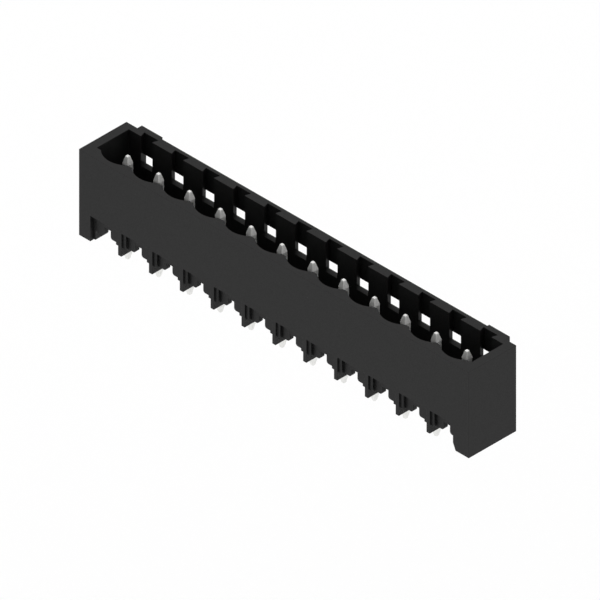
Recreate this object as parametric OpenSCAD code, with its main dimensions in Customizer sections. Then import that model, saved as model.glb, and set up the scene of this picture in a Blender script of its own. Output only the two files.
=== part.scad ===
// Board-mounted pin header: one moulded housing, closed at both ends and open at the top for a
// cable plug, with a row of chamfered square pins that pass through its floor to solder tails.
// Millimetres. The origin is on the board, at the middle of the pin row. X runs along the row,
// Y runs from the smooth front wall to the slotted rear wall, and Z points up from the board.

/* [Row of poles] */
// Number of poles
poles = 12; // [2:1:24]
// Distance between neighbouring pins
pitch = 5.08; // [4.9:0.02:7.62]
// Distance from an end pin to the outer face of the nearest end wall
end_margin = 4.165; // [4:0.05:7]

/* [Housing walls] */
// Height of the housing above the board
housing_h = 12.2; // [12:0.1:16]
// Distance from the pin row to the front face
front_y = 3.88; // [3.8:0.02:5]
// Distance from the pin row to the rear wall's outer face
rear_y = 4.37; // [4.2:0.01:5]
// Thickness of the front wall between the scallops
front_wall = 1.65; // [1.4:0.05:1.9]
// Thickness of the front wall in front of a pin, where the scallop is deepest
scallop_wall = 0.75; // [0.6:0.05:1.1]
// Thickness of the rear wall
rear_wall = 1.3; // [1.2:0.05:1.6]
// Thickness of the end walls
end_wall = 1.28; // [1:0.02:1.5]
// Height of the floor's underside above the board
floor_z = 2.58; // [2.2:0.02:3]
// Thickness of the floor that holds the pins
floor_t = 2; // [1.2:0.1:3]

/* [Rear pads] */
// How far the rear corners stand back from the rear wall's outer face
corner_setback = 0.435; // [0.2:0.005:0.6]
// Length of each stepped rear corner
corner_l = 1.8; // [1.5:0.05:2.2]
// Length of the thicker pad beside each corner
pad_l = 3.4; // [2.5:0.1:4]
// How far the pads stand out from the rear wall
pad_t = 0.325; // [0.15:0.005:0.6]

/* [Rear slots and windows] */
// Width of a dovetail slot at its narrowest
slot_neck_w = 1.86; // [1.5:0.02:2.1]
// Width of a dovetail slot at its back
slot_back_w = 2.34; // [2.2:0.02:2.8]
// Depth of a dovetail slot in the rear wall
slot_depth = 0.82; // [0.6:0.01:0.95]
// Size of the lead-in chamfer on the slot's mouth
slot_lead = 0.05; // [0.03:0.01:0.2]
// Height of a slot's floor above the board
slot_z = 7.98; // [7:0.02:8.5]
// Width of a window at the rear wall's outer face
window_w = 3.34; // [3:0.02:3.6]
// Height of a window above the slot's floor, at the slot's back
window_h = 1.09; // [0.8:0.01:1.6]

/* [Underside] */
// Height of the front and rear walls' lower edge
wall_foot_z = 3.59; // [3.2:0.01:4]
// How far the skirt stands back from the walls
recess = 0.55; // [0.4:0.01:0.8]
// Thickness of the skirt
skirt_t = 0.68; // [0.5:0.02:1]
// Height of the skirt's lower edge
skirt_z = 1.43; // [1:0.01:1.8]
// Width of the opening in the skirt at each pin
notch_w = 1.02; // [0.8:0.02:1.6]
// Radius of the skirt's lower corners at each opening
skirt_r = 0.34; // [0.1:0.02:0.4]
// Width of the fin between two poles
fin_w = 0.56; // [0.4:0.02:0.8]
// Height of the fins' lower edge
fin_z = 0.325; // [0.2:0.005:0.8]
// Width of the shoulder beside each fin, both sides together
shoulder_w = 1.65; // [1.2:0.05:2]
// How far the shoulders stand back from the walls
shoulder_setback = 0.215; // [0.1:0.005:0.35]

/* [Feet at the ends] */
// Length along the row of the left foot's front plate
left_foot_l = 1.87; // [1.5:0.01:2.1]
// Length along the row of the right foot's front plate
right_foot_l = 2.63; // [2.2:0.01:2.9]
// Length of the chamfer on the right foot's lower corner
foot_chamfer_l = 0.45; // [0.2:0.01:0.6]
// Height of the chamfer on the right foot's lower corner
foot_chamfer_h = 1; // [0.5:0.05:1.2]
// Length along the row of the block behind each front plate
block_l = 2.21; // [1.6:0.01:2.5]
// How far that block stands back from the front face
block_setback = 0.5; // [0.3:0.01:0.6]
// Depth of that block from front to rear
block_y = 2.31; // [1.5:0.01:2.6]
// Height of that block's underside above the board
block_z = 0.12; // [0.05:0.01:0.4]
// Radius of the block's inner corner
block_r = 0.35; // [0.1:0.05:0.5]

/* [Contact pins] */
// Side of the square pin
pin_side = 1; // [0.8:0.02:1.1]
// Chamfer on the pin's four long edges
pin_chamfer = 0.12; // [0.08:0.01:0.2]
// Height of the pin's top above the board
pin_top_z = 11.36; // [10:0.02:12]
// Length of the solder tail below the board
tail_l = 3.2; // [2.5:0.1:5]
// Side of the flat at the top of a pin
tip_side = 0.45; // [0.3:0.01:0.6]
// Length of the taper at the top
tip_l = 0.97; // [0.5:0.01:1.5]
// Side of the flat at the end of a tail
tail_tip_side = 0.45; // [0.3:0.01:0.6]
// Length of the taper at the end of a tail
tail_tip_l = 1.2; // [0.5:0.05:1.5]
// Clearance between a pin and its hole on each side, none where it is pressed in
pin_clearance = 0; // [0:0.01:0.05]

/* [Hidden] */
$fn = 48;
// Overshoot of every cut that leaves through a face
over = 1;
// Shorthand for the housing's outline
half_l = (poles - 1) * pitch / 2 + end_margin;
front = -front_y;
corner = rear_y - corner_setback;
// Inside of the cavity
cavity_half_l = half_l - end_wall;
cavity_front = front + front_wall;
cavity_rear = rear_y - rear_wall;
floor_top = floor_z + floor_t;
// Height inside the solid floor to which everything below the walls reaches up
root_z = (wall_foot_z + floor_top) / 2;
scallop_r = front_y - scallop_wall;
// Places of the pins and of the fins between them
pin_x = [for (i = [0:poles - 1]) (i - (poles - 1) / 2) * pitch];
fin_x = [for (i = [0:poles - 2]) (i - (poles - 2) / 2) * pitch];

function pin_name(i) = str("contact_pin_", i < 10 ? "0" : "", i);

// A box given by its lowest and highest corners
module block(low, high) {
    translate([0, 0, low.z])
        linear_extrude(high.z - low.z)
            polygon([[low.x, low.y], [high.x, low.y], [high.x, high.y], [low.x, high.y]]);
}

// A shape drawn in X and Z, standing between two places along Y
module stand(y0, y1) {
    translate([0, y1, 0])
        rotate([90, 0, 0])
            linear_extrude(y1 - y0)
                children();
}

// Copies the shape at both ends of the row, as mirror images
module both_ends() {
    children();
    mirror([1, 0, 0])
        children();
}

// Outer outline from above: stepped rear corners, a thicker pad beside each and the rear wall between
module outline() {
    step = half_l - corner_l;
    pad = step - pad_l;
    pad_y = rear_y + pad_t;
    polygon([
        [-half_l, front],
        [half_l, front],
        [half_l, corner],
        [step, corner],
        [step, pad_y],
        [pad, pad_y],
        [pad, rear_y],
        [-pad, rear_y],
        [-pad, pad_y],
        [-step, pad_y],
        [-step, corner],
        [-half_l, corner]
    ]);
}

// Cavity from above: a straight channel with a round scallop in the front wall around each pin
module cavity_outline() {
    translate([-cavity_half_l, cavity_front])
        square([2 * cavity_half_l, cavity_rear - cavity_front]);
    intersection() {
        for (x = pin_x)
            translate([x, 0])
                circle(scallop_r);
        translate([-cavity_half_l, front])
            square([2 * cavity_half_l, front_y]);
    }
}

// Dovetail slot from above, with a small lead-in at its mouth
module slot_outline() {
    neck = slot_neck_w / 2;
    back = slot_back_w / 2;
    polygon([
        [-neck - 2 * slot_lead, cavity_rear - slot_lead],
        [-neck, cavity_rear + slot_lead],
        [-back, cavity_rear + slot_depth],
        [back, cavity_rear + slot_depth],
        [neck, cavity_rear + slot_lead],
        [neck + 2 * slot_lead, cavity_rear - slot_lead]
    ]);
}

// Window through the rear wall: its sides flare from the slot's mouth outwards, its ceiling rises
// from the slot's back inwards, and its sill falls from the slot's back outwards
module window() {
    mouth = slot_neck_w / 2;
    wide = window_w / 2;
    inner = cavity_rear - slot_lead;
    start = cavity_rear + slot_lead / 2;
    back = cavity_rear + slot_depth;
    outer = rear_y + pad_t + over;
    intersection() {
        linear_extrude(housing_h)
            polygon([
                [-mouth, inner],
                [-mouth, start],
                [-wide, start + wide - mouth],
                [-wide, outer],
                [wide, outer],
                [wide, start + wide - mouth],
                [mouth, start],
                [mouth, inner]
            ]);
        rotate([90, 0, 90])
            linear_extrude(2 * window_w, center = true)
                polygon([
                    [inner, slot_z],
                    [back, slot_z],
                    [outer, slot_z - outer + back],
                    [outer, slot_z + window_h],
                    [back - slot_lead, slot_z + window_h],
                    [inner, slot_z + window_h + slot_depth]
                ]);
    }
}

// Opening in the skirt at a pin, in X and Z: rounded where the skirt's lower corners are
module notch_profile() {
    half = notch_w / 2;
    translate([-half, skirt_z - over])
        square([notch_w, floor_z - skirt_z + over]);
    difference() {
        translate([-half - skirt_r, skirt_z - over])
            square([notch_w + 2 * skirt_r, skirt_r + over]);
        for (side = [-1, 1])
            translate([side * (half + skirt_r), skirt_z + skirt_r])
                circle(skirt_r);
    }
}

// Skirt along one long side, as deep as the two given places along Y
module skirt(y0, y1) {
    difference() {
        block([-half_l, y0, skirt_z], [half_l, y1, root_z]);
        for (x = pin_x)
            translate([x, 0, 0])
                stand(y0 - over, y1 + over)
                    notch_profile();
    }
}

// Fin between two poles, with a shoulder at the front and one at the rear
module fin() {
    half_fin = fin_w / 2;
    half_shoulder = shoulder_w / 2;
    block([-half_fin, front, fin_z], [half_fin, rear_y, root_z]);
    block([-half_shoulder, front + shoulder_setback, skirt_z], [half_shoulder, front + recess, root_z]);
    block([-half_shoulder, rear_y - recess, skirt_z], [half_shoulder, rear_y - shoulder_setback, root_z]);
}

// End wall below the floor, with a block that stops above the board at the front and at the rear
module end_feet() {
    block([-half_l, front, 0], [-half_l + end_wall, corner, root_z]);
    translate([-half_l, front + block_setback, 0])
        foot_block();
    translate([-half_l, corner - block_setback, 0])
        mirror([0, 1, 0])
            foot_block();
}

// One foot block, cut off above the board
module foot_block() {
    difference() {
        linear_extrude(root_z)
            foot_block_outline();
        block([-over, -over, -over], [block_l + over, block_y + over, block_z]);
    }
}

// One foot block from above, rooted in the end wall and round at its inner corner
module foot_block_outline() {
    root = end_wall / 2;
    translate([root, 0]) {
        square([block_l - block_r - root, block_y]);
        square([block_l - root, block_y - block_r]);
    }
    translate([block_l - block_r, block_y - block_r])
        circle(block_r);
}

// Front plates of the two feet: the right one is longer and has a chamfered lower corner
module foot_plates() {
    inner = half_l - right_foot_l;
    block([-half_l, front, 0], [-half_l + left_foot_l, front + recess, root_z]);
    difference() {
        block([inner, front, 0], [half_l, front + recess, root_z]);
        stand(front - over, front + recess + over)
            polygon([
                [inner - foot_chamfer_l, 2 * foot_chamfer_h],
                [inner - foot_chamfer_l, -foot_chamfer_h],
                [inner + 2 * foot_chamfer_l, -foot_chamfer_h]
            ]);
    }
}

// Section of a pin, or of its hole when a gap is given: a square with chamfered corners
module pin_section(gap) {
    half = pin_side / 2 + gap;
    diagonal = pin_side / sqrt(2) - pin_chamfer / sqrt(2) + gap;
    intersection() {
        square(2 * half, center = true);
        rotate(45)
            square(2 * diagonal, center = true);
    }
}

// Moulded housing, one piece
module housing() {
    color("#363636")
        difference() {
            union() {
                translate([0, 0, wall_foot_z])
                    linear_extrude(housing_h - wall_foot_z)
                        outline();
                block([-half_l, front + recess, floor_z], [half_l, rear_y - recess, root_z]);
                skirt(front + recess, front + recess + skirt_t);
                skirt(rear_y - recess - skirt_t, rear_y - recess);
                for (x = fin_x)
                    translate([x, 0, 0])
                        fin();
                both_ends()
                    end_feet();
                foot_plates();
            }
            translate([0, 0, floor_top])
                linear_extrude(housing_h - floor_top + over)
                    cavity_outline();
            for (x = pin_x)
                translate([x, 0, 0]) {
                    window();
                    translate([0, 0, slot_z + window_h / 2])
                        linear_extrude(housing_h - slot_z + over)
                            slot_outline();
                    translate([0, 0, floor_z - over])
                        linear_extrude(floor_t + 2 * over)
                            pin_section(pin_clearance);
                }
        }
}

// Side view of a pin of the given width, tapered at both ends by the same share
module pin_profile(width) {
    half = width / 2;
    top = half * tip_side / pin_side;
    end = half * tail_tip_side / pin_side;
    polygon([
        [-end, -tail_l],
        [-half, tail_tip_l - tail_l],
        [-half, pin_top_z - tip_l],
        [-top, pin_top_z],
        [top, pin_top_z],
        [half, pin_top_z - tip_l],
        [half, tail_tip_l - tail_l],
        [end, -tail_l]
    ]);
}

// One contact pin: four crossed side views leave a chamfered square with a tapered tip and tail
module contact_pin(i) {
    diagonal = (pin_side - pin_chamfer) * sqrt(2);
    color("#c9c9c6")
        translate([pin_x[i - 1], 0, 0])
            intersection_for (turn = [0, 45, 90, 135]) {
                rotate(turn)
                    stand(-pin_side, pin_side)
                        pin_profile(turn % 90 == 0 ? pin_side : diagonal);
            }
}

housing();
for (i = [1:poles]) contact_pin(i);
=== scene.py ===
"""Finish of a board-mounted pin header: its moulded housing, its row of contact pins and a plain stage."""

import math

import bmesh
import bpy
from bpy.props import FloatProperty, FloatVectorProperty, IntProperty, PointerProperty
from bpy.types import Operator, Panel, PropertyGroup
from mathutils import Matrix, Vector


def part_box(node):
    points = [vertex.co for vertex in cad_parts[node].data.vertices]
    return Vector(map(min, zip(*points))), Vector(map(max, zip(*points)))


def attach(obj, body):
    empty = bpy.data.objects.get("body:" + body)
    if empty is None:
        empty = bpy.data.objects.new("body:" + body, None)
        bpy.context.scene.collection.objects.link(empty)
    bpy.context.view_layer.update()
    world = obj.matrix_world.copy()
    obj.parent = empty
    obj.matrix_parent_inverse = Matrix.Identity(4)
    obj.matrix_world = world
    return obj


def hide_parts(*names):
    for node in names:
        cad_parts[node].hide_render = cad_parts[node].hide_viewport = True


bl_info = {
    "name": "Board pin header",
    "version": (1, 0, 0),
    "blender": (4, 5, 0),
    "location": "3D View > Sidebar > Pin header",
    "description": "Finishes a moulded pin header for a circuit board around its packed solids",
    "category": "Object",
}

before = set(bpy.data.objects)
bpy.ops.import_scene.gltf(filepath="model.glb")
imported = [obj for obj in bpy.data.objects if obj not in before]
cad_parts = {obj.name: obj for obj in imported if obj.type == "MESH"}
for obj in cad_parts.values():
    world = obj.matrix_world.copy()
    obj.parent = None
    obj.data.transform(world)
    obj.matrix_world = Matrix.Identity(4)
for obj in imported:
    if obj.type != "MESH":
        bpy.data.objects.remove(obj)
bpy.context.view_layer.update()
MM = 0.001

PIN_NODES = sorted(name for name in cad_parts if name.startswith("contact_pin_"))
FIRST_LOW, FIRST_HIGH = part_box(PIN_NODES[0])
LAST_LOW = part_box(PIN_NODES[-1])[0]
POLES = len(PIN_NODES)
PITCH = (LAST_LOW[0] - FIRST_LOW[0]) / (POLES - 1)

# Corners of the solid that lie closer than this are one corner
WELD_DISTANCE = 0.001 * MM
# Two faces that meet at less than the first turn are one flat face, at less than the second they are
# strips of one round wall, and at more than the third they meet in a corner of the moulding
FLAT_TURN = math.radians(1)
ROUND_TURN = math.radians(20)
CORNER_TURN = math.radians(60)
# Shorter edges belong to the small radius where outer edges meet, not to a round wall
WALL_EDGE_LENGTH = 0.2 * MM
# Most values of a noise texture lie in this range
NOISE_RANGE = {"From Min": 0.3, "From Max": 0.7}
# From the middle of the floor to its sides, and from the target of the view to the camera, in metres
FLOOR_REACH = 3.0
CAMERA_DISTANCE = 0.4


def linear(hex_colour):
    """The linear colour, with full alpha, of an sRGB hex value."""
    parts = [int(hex_colour[i:i + 2], 16) / 255 for i in (1, 3, 5)]
    return [c / 12.92 if c <= 0.04045 else ((c + 0.055) / 1.055) ** 2.4 for c in parts] + [1.0]


def feed(tree, node, inputs):
    """Sets inputs of a node. Each is given as a value or as the socket that feeds it."""
    for key, value in inputs.items():
        if isinstance(value, bpy.types.NodeSocket):
            tree.links.new(value, node.inputs[key])
        else:
            node.inputs[key].default_value = value


def add(tree, kind, inputs=None, **settings):
    """Adds a node with its settings, and feeds its inputs."""
    node = tree.nodes.new(kind)
    for key, value in settings.items():
        setattr(node, key, value)
    feed(tree, node, inputs or {})
    return node


def empty_material(name):
    """A new material whose node tree is empty."""
    material = bpy.data.materials.new(name)
    material.use_nodes = True
    material.node_tree.nodes.clear()
    return material


class HousingSettings(PropertyGroup):
    """Sizes and colour of the moulded housing's finish."""

    colour: FloatVectorProperty(
        name="Plastic colour",
        description="Colour of the moulded plastic",
        subtype="COLOR",
        size=4,
        min=0.0,
        max=1.0,
        default=linear("#0b0b0b"),
    )
    edge_radius: FloatProperty(
        name="Edge radius",
        description="Radius left on the moulding's long outer edges by the tool",
        default=0.02 * MM,
        min=0.001 * MM,
        max=0.08 * MM,
        precision=6,
        unit="LENGTH",
    )
    edge_length: FloatProperty(
        name="Rounded edges from",
        description="Outer edges that are longer than this are rounded",
        default=2.5 * MM,
        min=0.5 * MM,
        precision=5,
        unit="LENGTH",
    )
    grain: FloatProperty(
        name="Surface grain",
        description="Size of the spark-eroded grain on the moulding's faces",
        default=0.12 * MM,
        min=0.02 * MM,
        max=1.0 * MM,
        precision=6,
        unit="LENGTH",
    )


class PinSettings(PropertyGroup):
    """Sizes and colour of the contact pins."""

    poles: IntProperty(
        name="Poles",
        description="Number of contact pins in the row",
        default=POLES,
        min=1,
    )
    pitch: FloatProperty(
        name="Pitch",
        description="Distance between neighbouring pins",
        default=PITCH,
        precision=5,
        unit="LENGTH",
    )
    side: FloatProperty(
        name="Side",
        description="Side of the square wire the pins are cut from",
        default=FIRST_HIGH[0] - FIRST_LOW[0],
        precision=5,
        unit="LENGTH",
    )
    chamfer: FloatProperty(
        name="Chamfer",
        description="Chamfer on the wire's long edges",
        default=0.12 * MM,
        precision=5,
        unit="LENGTH",
    )
    top: FloatProperty(
        name="Top",
        description="Height of the pins' tips above the board",
        default=FIRST_HIGH[2],
        precision=5,
        unit="LENGTH",
    )
    bottom: FloatProperty(
        name="Bottom",
        description="Height of the tails' ends, below the board",
        default=FIRST_LOW[2],
        precision=5,
        unit="LENGTH",
    )
    tip_taper: FloatProperty(
        name="Tip taper",
        description="Length of the taper at the tip",
        default=0.97 * MM,
        precision=5,
        unit="LENGTH",
    )
    tail_taper: FloatProperty(
        name="Tail taper",
        description="Length of the taper at the end of a tail",
        default=1.2 * MM,
        precision=5,
        unit="LENGTH",
    )
    end_flat: FloatProperty(
        name="End flat",
        description="Width of the flat at both ends, as a share of the side",
        default=0.45,
        min=0.1,
        max=1.0,
        subtype="FACTOR",
    )
    end_edge: FloatProperty(
        name="End edge",
        description="Rounding around the flat at both ends",
        default=0.05 * MM,
        min=0.0,
        precision=6,
        unit="LENGTH",
    )
    colour: FloatVectorProperty(
        name="Tin colour",
        description="Colour of the tin plating",
        subtype="COLOR",
        size=4,
        min=0.0,
        max=1.0,
        default=linear("#ececea"),
    )


class StageSettings(PropertyGroup):
    """Floor, light and view."""

    floor_drop: FloatProperty(
        name="Floor drop",
        description="Distance from the board's surface down to the floor",
        default=0.1,
        unit="LENGTH",
    )
    tent: FloatProperty(
        name="Light",
        description="Level of the white tent around the part; at 1 a white sheet renders white",
        default=1.0,
        min=0.0,
        max=2.0,
    )
    azimuth: FloatProperty(
        name="Azimuth",
        description="Turn of the view from the front face towards the right end",
        default=math.radians(45),
        subtype="ANGLE",
    )
    elevation: FloatProperty(
        name="Elevation",
        description="Height of the view above the horizon",
        default=math.radians(35),
        subtype="ANGLE",
    )
    width: FloatProperty(
        name="View width",
        description="Width of the part of the scene that the picture shows",
        default=69.88 * MM,
        precision=5,
        unit="LENGTH",
    )
    target: FloatVectorProperty(
        name="View target",
        description="Point at the middle of the picture",
        default=(1.62 * MM, -1.2 * MM, 6.1 * MM),
        precision=5,
        subtype="TRANSLATION",
        unit="LENGTH",
    )


def moulded_polyester(settings):
    """Material of the housing."""
    # Black polyester moulded in a spark-eroded tool: nearly black in itself, with a soft sheen that turns
    # dark grey in a white surround and stays black in the recesses. A fine grain breaks up the sheen, and
    # the tone changes faintly where the melt has flowed.
    material = empty_material("polyester_moulded_matt")
    tree = material.node_tree
    place = add(tree, "ShaderNodeTexCoord").outputs["Object"]
    # The real grain is about 0.05 mm; it is drawn coarser, so that it shows in the picture
    grain = add(
        tree,
        "ShaderNodeTexNoise",
        {"Vector": place, "Scale": 1 / settings.grain, "Detail": 2.0},
    )
    flow_width = 7 * MM
    flow = add(tree, "ShaderNodeTexNoise", {"Vector": place, "Scale": 1 / flow_width, "Detail": 3.0})
    tone = add(
        tree,
        "ShaderNodeMapRange",
        {"Value": flow.outputs["Fac"], **NOISE_RANGE, "To Min": 0.94, "To Max": 1.06},
    )
    shade = add(
        tree,
        "ShaderNodeHueSaturation",
        {"Value": tone.outputs["Result"], "Color": tuple(settings.colour)},
    )
    matt = add(
        tree,
        "ShaderNodeMapRange",
        {"Value": grain.outputs["Fac"], **NOISE_RANGE, "To Min": 0.47, "To Max": 0.59},
    )
    relief = add(
        tree,
        "ShaderNodeBump",
        {"Height": grain.outputs["Fac"], "Strength": 0.12, "Distance": 0.02 * MM},
    )
    surface = add(
        tree,
        "ShaderNodeBsdfPrincipled",
        {
            "Base Color": shade.outputs["Color"],
            "Roughness": matt.outputs["Result"],
            "Normal": relief.outputs["Normal"],
            "IOR": 1.5,
            "Specular IOR Level": 0.25,
        },
    )
    add(tree, "ShaderNodeOutputMaterial", {"Surface": surface.outputs["BSDF"]})
    return material


def tinned_wire(settings):
    """Material of the contact pins."""
    # Copper alloy wire with matt tin plating: a soft pale grey metal, slightly cloudy, with fine lines
    # along the wire from drawing.
    material = empty_material("copper_alloy_matt_tin")
    tree = material.node_tree
    place = add(tree, "ShaderNodeTexCoord").outputs["Object"]
    # Real lines are a few hundredths of a millimetre wide; these are coarser, so that they show near by
    line_width = 0.08 * MM
    line_length = 3 * MM
    along = add(
        tree,
        "ShaderNodeMapping",
        {"Vector": place, "Scale": (1 / line_width, 1 / line_width, 1 / line_length)},
    )
    lines = add(
        tree,
        "ShaderNodeTexNoise",
        {"Vector": along.outputs["Vector"], "Scale": 1.0, "Detail": 2.0},
    )
    cloud_width = 0.4 * MM
    clouds = add(tree, "ShaderNodeTexNoise", {"Vector": place, "Scale": 1 / cloud_width, "Detail": 2.0})
    tone = add(
        tree,
        "ShaderNodeMapRange",
        {"Value": clouds.outputs["Fac"], **NOISE_RANGE, "To Min": 0.96, "To Max": 1.04},
    )
    shade = add(
        tree,
        "ShaderNodeHueSaturation",
        {"Value": tone.outputs["Result"], "Color": tuple(settings.colour)},
    )
    polish = add(
        tree,
        "ShaderNodeMapRange",
        {"Value": lines.outputs["Fac"], **NOISE_RANGE, "To Min": 0.57, "To Max": 0.69},
    )
    relief = add(
        tree,
        "ShaderNodeBump",
        {"Height": lines.outputs["Fac"], "Strength": 0.1, "Distance": 0.004 * MM},
    )
    surface = add(
        tree,
        "ShaderNodeBsdfPrincipled",
        {
            "Base Color": shade.outputs["Color"],
            "Metallic": 1.0,
            "Roughness": polish.outputs["Result"],
            "Normal": relief.outputs["Normal"],
        },
    )
    add(tree, "ShaderNodeOutputMaterial", {"Surface": surface.outputs["BSDF"]})
    return material


def baked_mesh(obj, name):
    """The mesh of an object after its modifiers."""
    bpy.context.view_layer.update()
    evaluated = obj.evaluated_get(bpy.context.evaluated_depsgraph_get())
    mesh = bpy.data.meshes.new_from_object(evaluated)
    mesh.name = name
    return mesh


class HEADER_OT_housing(Operator):
    """Makes the moulded housing from its solid, with a small radius on its long outer edges"""

    bl_idname = "header.make_housing"
    bl_label = "Make housing"

    def execute(self, context):
        settings = context.scene.header_housing
        work = bmesh.new()
        work.from_mesh(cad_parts["housing"].data)
        bmesh.ops.remove_doubles(work, verts=work.verts, dist=WELD_DISTANCE)
        bmesh.ops.dissolve_limit(work, angle_limit=FLAT_TURN, verts=work.verts, edges=work.edges)
        outer = [
            edge
            for edge in work.edges
            if edge.is_convex
            and edge.calc_length() > settings.edge_length
            and edge.calc_face_angle() > CORNER_TURN
        ]
        bmesh.ops.bevel(
            work,
            geom=outer,
            offset=settings.edge_radius,
            offset_type="OFFSET",
            segments=2,
            profile=0.5,
            affect="EDGES",
            clamp_overlap=True,
        )
        # Flat faces stay flat; the scallops and other round walls are shaded as one curve, and a strip of
        # such a wall turns gently at more than one of its edges
        for edge in work.edges:
            turns_gently = FLAT_TURN < edge.calc_face_angle(0.0) < ROUND_TURN
            edge.smooth = turns_gently and edge.calc_length() > WALL_EDGE_LENGTH
        for face in work.faces:
            face.smooth = sum(edge.smooth for edge in face.edges) > 1
        mesh = bpy.data.meshes.new("moulded_housing")
        work.to_mesh(mesh)
        work.free()
        housing = bpy.data.objects.new("moulded_housing", mesh)
        context.collection.objects.link(housing)
        housing.data.materials.append(moulded_polyester(settings))
        if not housing.data.polygons:
            raise RuntimeError("the housing came out empty")
        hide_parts("housing")
        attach(housing, "root")
        return {"FINISHED"}


def pin_row_tree():
    """Geometry nodes for a row of tapered square pins, and the identifiers of the inputs by name."""
    tree = bpy.data.node_groups.new("contact_pin_row", "GeometryNodeTree")
    tree.interface.new_socket("Geometry", in_out="OUTPUT", socket_type="NodeSocketGeometry")
    kinds = {
        "Poles": "NodeSocketInt",
        "Pitch": "NodeSocketFloat",
        "Side": "NodeSocketFloat",
        "Chamfer": "NodeSocketFloat",
        "Top": "NodeSocketFloat",
        "Bottom": "NodeSocketFloat",
        "Tip taper": "NodeSocketFloat",
        "Tail taper": "NodeSocketFloat",
        "End flat": "NodeSocketFloat",
        "End edge": "NodeSocketFloat",
        "Material": "NodeSocketMaterial",
    }
    sockets = {
        name: tree.interface.new_socket(name, in_out="INPUT", socket_type=kind).identifier
        for name, kind in kinds.items()
    }
    given = add(tree, "NodeGroupInput").outputs

    # Section of the wire: a square with cut corners
    square = add(
        tree,
        "GeometryNodeCurvePrimitiveQuadrilateral",
        {"Width": given["Side"], "Height": given["Side"]},
    )
    section = add(
        tree,
        "GeometryNodeFilletCurve",
        {"Curve": square.outputs["Curve"], "Count": 1, "Radius": given["Chamfer"]},
        mode="POLY",
    )

    # Rings along a pin, from the tail's end to the tip: the height of each, and its width as a share of
    # the side
    tail_edge = add(tree, "ShaderNodeMath", {0: given["Bottom"], 1: given["End edge"]}, operation="ADD")
    tail_start = add(tree, "ShaderNodeMath", {0: given["Bottom"], 1: given["Tail taper"]}, operation="ADD")
    tip_start = add(tree, "ShaderNodeMath", {0: given["Top"], 1: given["Tip taper"]}, operation="SUBTRACT")
    tip_edge = add(tree, "ShaderNodeMath", {0: given["Top"], 1: given["End edge"]}, operation="SUBTRACT")
    edge_share = add(tree, "ShaderNodeMath", {0: given["End edge"], 1: given["Side"]}, operation="DIVIDE")
    flat = add(
        tree,
        "ShaderNodeMath",
        {0: given["End flat"], 1: edge_share.outputs["Value"]},
        operation="SUBTRACT",
    )
    rings = [
        (given["Bottom"], flat.outputs["Value"]),
        (tail_edge.outputs["Value"], given["End flat"]),
        (tail_start.outputs["Value"], 1.0),
        (tip_start.outputs["Value"], 1.0),
        (tip_edge.outputs["Value"], given["End flat"]),
        (given["Top"], flat.outputs["Value"]),
    ]
    ring = add(tree, "GeometryNodeInputIndex").outputs["Index"]
    height = add(tree, "GeometryNodeIndexSwitch", data_type="FLOAT")
    width = add(tree, "GeometryNodeIndexSwitch", data_type="FLOAT")
    for switch, values in zip((height, width), zip(*rings)):
        while len(switch.index_switch_items) < len(rings):
            switch.index_switch_items.new()
        feed(tree, switch, {"Index": ring, **dict(enumerate(values, 1))})

    # The pin, as the section swept along a spine with one point for each ring
    line = add(tree, "GeometryNodeCurvePrimitiveLine", {"End": (0.0, 0.0, 1.0)})
    spine = add(
        tree,
        "GeometryNodeSubdivideCurve",
        {"Curve": line.outputs["Curve"], "Cuts": len(rings) - 2},
    )
    spot = add(tree, "ShaderNodeCombineXYZ", {"Z": height.outputs["Output"]})
    placed = add(
        tree,
        "GeometryNodeSetPosition",
        {"Geometry": spine.outputs["Curve"], "Position": spot.outputs["Vector"]},
    )
    pin = add(
        tree,
        "GeometryNodeCurveToMesh",
        {
            "Curve": placed.outputs["Geometry"],
            "Profile Curve": section.outputs["Curve"],
            "Scale": width.outputs["Output"],
            "Fill Caps": True,
        },
    )

    # The row, centred on the origin
    gaps = add(tree, "ShaderNodeMath", {0: given["Poles"], 1: 1.0}, operation="SUBTRACT")
    length = add(
        tree,
        "ShaderNodeMath",
        {0: gaps.outputs["Value"], 1: given["Pitch"]},
        operation="MULTIPLY",
    )
    first = add(tree, "ShaderNodeMath", {0: length.outputs["Value"], 1: -2.0}, operation="DIVIDE")
    start = add(tree, "ShaderNodeCombineXYZ", {"X": first.outputs["Value"]})
    step = add(tree, "ShaderNodeCombineXYZ", {"X": given["Pitch"]})
    row = add(
        tree,
        "GeometryNodeMeshLine",
        {
            "Count": given["Poles"],
            "Start Location": start.outputs["Vector"],
            "Offset": step.outputs["Vector"],
        },
    )
    pins = add(
        tree,
        "GeometryNodeInstanceOnPoints",
        {"Points": row.outputs["Mesh"], "Instance": pin.outputs["Mesh"]},
    )
    real = add(tree, "GeometryNodeRealizeInstances", {"Geometry": pins.outputs["Instances"]})
    flat_faces = add(
        tree,
        "GeometryNodeSetShadeSmooth",
        {"Geometry": real.outputs["Geometry"], "Shade Smooth": False},
    )
    dressed = add(
        tree,
        "GeometryNodeSetMaterial",
        {"Geometry": flat_faces.outputs["Geometry"], "Material": given["Material"]},
    )
    add(tree, "NodeGroupOutput", {"Geometry": dressed.outputs["Geometry"]})
    return tree, sockets


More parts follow.
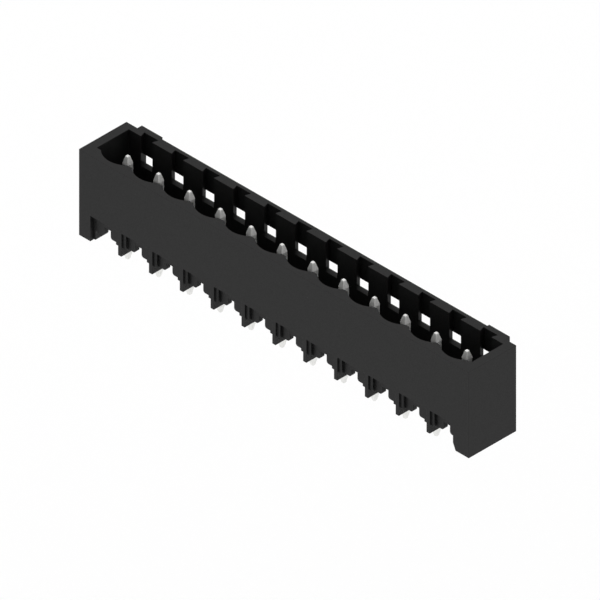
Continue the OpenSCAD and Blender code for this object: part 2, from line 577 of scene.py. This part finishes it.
class HEADER_OT_pins(Operator):
    """Makes the row of contact pins with geometry nodes"""

    bl_idname = "header.make_pins"
    bl_label = "Make contact pins"

    def execute(self, context):
        settings = context.scene.header_pins
        tree, sockets = pin_row_tree()
        pins = bpy.data.objects.new("contact_pins", bpy.data.meshes.new("contact_pins"))
        context.collection.objects.link(pins)
        row = pins.modifiers.new("contact_pin_row", "NODES")
        row.node_group = tree
        values = {
            "Poles": settings.poles,
            "Pitch": settings.pitch,
            "Side": settings.side,
            "Chamfer": settings.chamfer,
            "Top": settings.top,
            "Bottom": settings.bottom,
            "Tip taper": settings.tip_taper,
            "Tail taper": settings.tail_taper,
            "End flat": settings.end_flat,
            "End edge": settings.end_edge,
            "Material": tinned_wire(settings),
        }
        for name, value in values.items():
            row[sockets[name]] = value
        pins.data = baked_mesh(pins, "contact_pins")
        pins.modifiers.clear()
        if not pins.data.polygons:
            raise RuntimeError("the contact pins came out empty")
        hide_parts(*PIN_NODES)
        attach(pins, "root")
        return {"FINISHED"}


class HEADER_OT_stage(Operator):
    """Makes the pale floor, the even light of a white tent and the camera"""

    bl_idname = "header.make_stage"
    bl_label = "Make stage"

    def execute(self, context):
        settings = context.scene.header_stage
        scene = context.scene
        scene.view_settings.view_transform = "Standard"

        # A white photo tent: the same soft light from every side, and white where nothing else is seen
        world = bpy.data.worlds.new("light_tent")
        world.use_nodes = True
        scene.world = world
        tree = world.node_tree
        tree.nodes.clear()
        tent = add(tree, "ShaderNodeBackground", {"Color": linear("#ffffff"), "Strength": settings.tent})
        add(tree, "ShaderNodeOutputWorld", {"Surface": tent.outputs["Background"]})

        # White matt paint: in the tent's light it is as white as the tent, but for the part's soft shadow
        paint = empty_material("floor_white_paint")
        tree = paint.node_tree
        coat = add(tree, "ShaderNodeBsdfDiffuse", {"Color": linear("#ffffff")})
        add(tree, "ShaderNodeOutputMaterial", {"Surface": coat.outputs["BSDF"]})
        sides = ((-1, -1), (1, -1), (1, 1), (-1, 1))
        corners = [(x * FLOOR_REACH, y * FLOOR_REACH, -settings.floor_drop) for x, y in sides]
        sheet = bpy.data.meshes.new("floor")
        sheet.from_pydata(corners, [], [(0, 1, 2, 3)])
        sheet.materials.append(paint)
        floor = bpy.data.objects.new("floor", sheet)
        scene.collection.objects.link(floor)

        # The photograph is a parallel view, so the camera is orthographic
        view = bpy.data.cameras.new("camera")
        view.type = "ORTHO"
        view.ortho_scale = settings.width
        view.clip_start = 0.001
        view.clip_end = 10.0
        camera = bpy.data.objects.new("camera", view)
        level_part = math.cos(settings.elevation)
        back = Vector((
            math.sin(settings.azimuth) * level_part,
            -math.cos(settings.azimuth) * level_part,
            math.sin(settings.elevation),
        ))
        camera.location = Vector(settings.target) + CAMERA_DISTANCE * back
        camera.rotation_euler = (math.radians(90) - settings.elevation, 0.0, settings.azimuth)
        scene.collection.objects.link(camera)
        scene.camera = camera
        return {"FINISHED"}


class HEADER_PT_panel(Panel):
    """Sizes, colours and buttons of the pin header"""

    bl_idname = "HEADER_PT_panel"
    bl_label = "Pin header"
    bl_space_type = "VIEW_3D"
    bl_region_type = "UI"
    bl_category = "Pin header"

    def draw(self, context):
        groups = (
            (context.scene.header_housing, HEADER_OT_housing.bl_idname),
            (context.scene.header_pins, HEADER_OT_pins.bl_idname),
            (context.scene.header_stage, HEADER_OT_stage.bl_idname),
        )
        for settings, operator in groups:
            box = self.layout.box()
            for name in settings.__annotations__:
                box.prop(settings, name)
            box.operator(operator)


CLASSES = (
    HousingSettings,
    PinSettings,
    StageSettings,
    HEADER_OT_housing,
    HEADER_OT_pins,
    HEADER_OT_stage,
    HEADER_PT_panel,
)


def register():
    for cls in CLASSES:
        bpy.utils.register_class(cls)
    bpy.types.Scene.header_housing = PointerProperty(type=HousingSettings)
    bpy.types.Scene.header_pins = PointerProperty(type=PinSettings)
    bpy.types.Scene.header_stage = PointerProperty(type=StageSettings)


def unregister():
    del bpy.types.Scene.header_stage
    del bpy.types.Scene.header_pins
    del bpy.types.Scene.header_housing
    for cls in reversed(CLASSES):
        bpy.utils.unregister_class(cls)


def main():
    register()
    bpy.ops.header.make_housing()
    bpy.ops.header.make_pins()
    bpy.ops.header.make_stage()


if __name__ == "__main__":
    main()
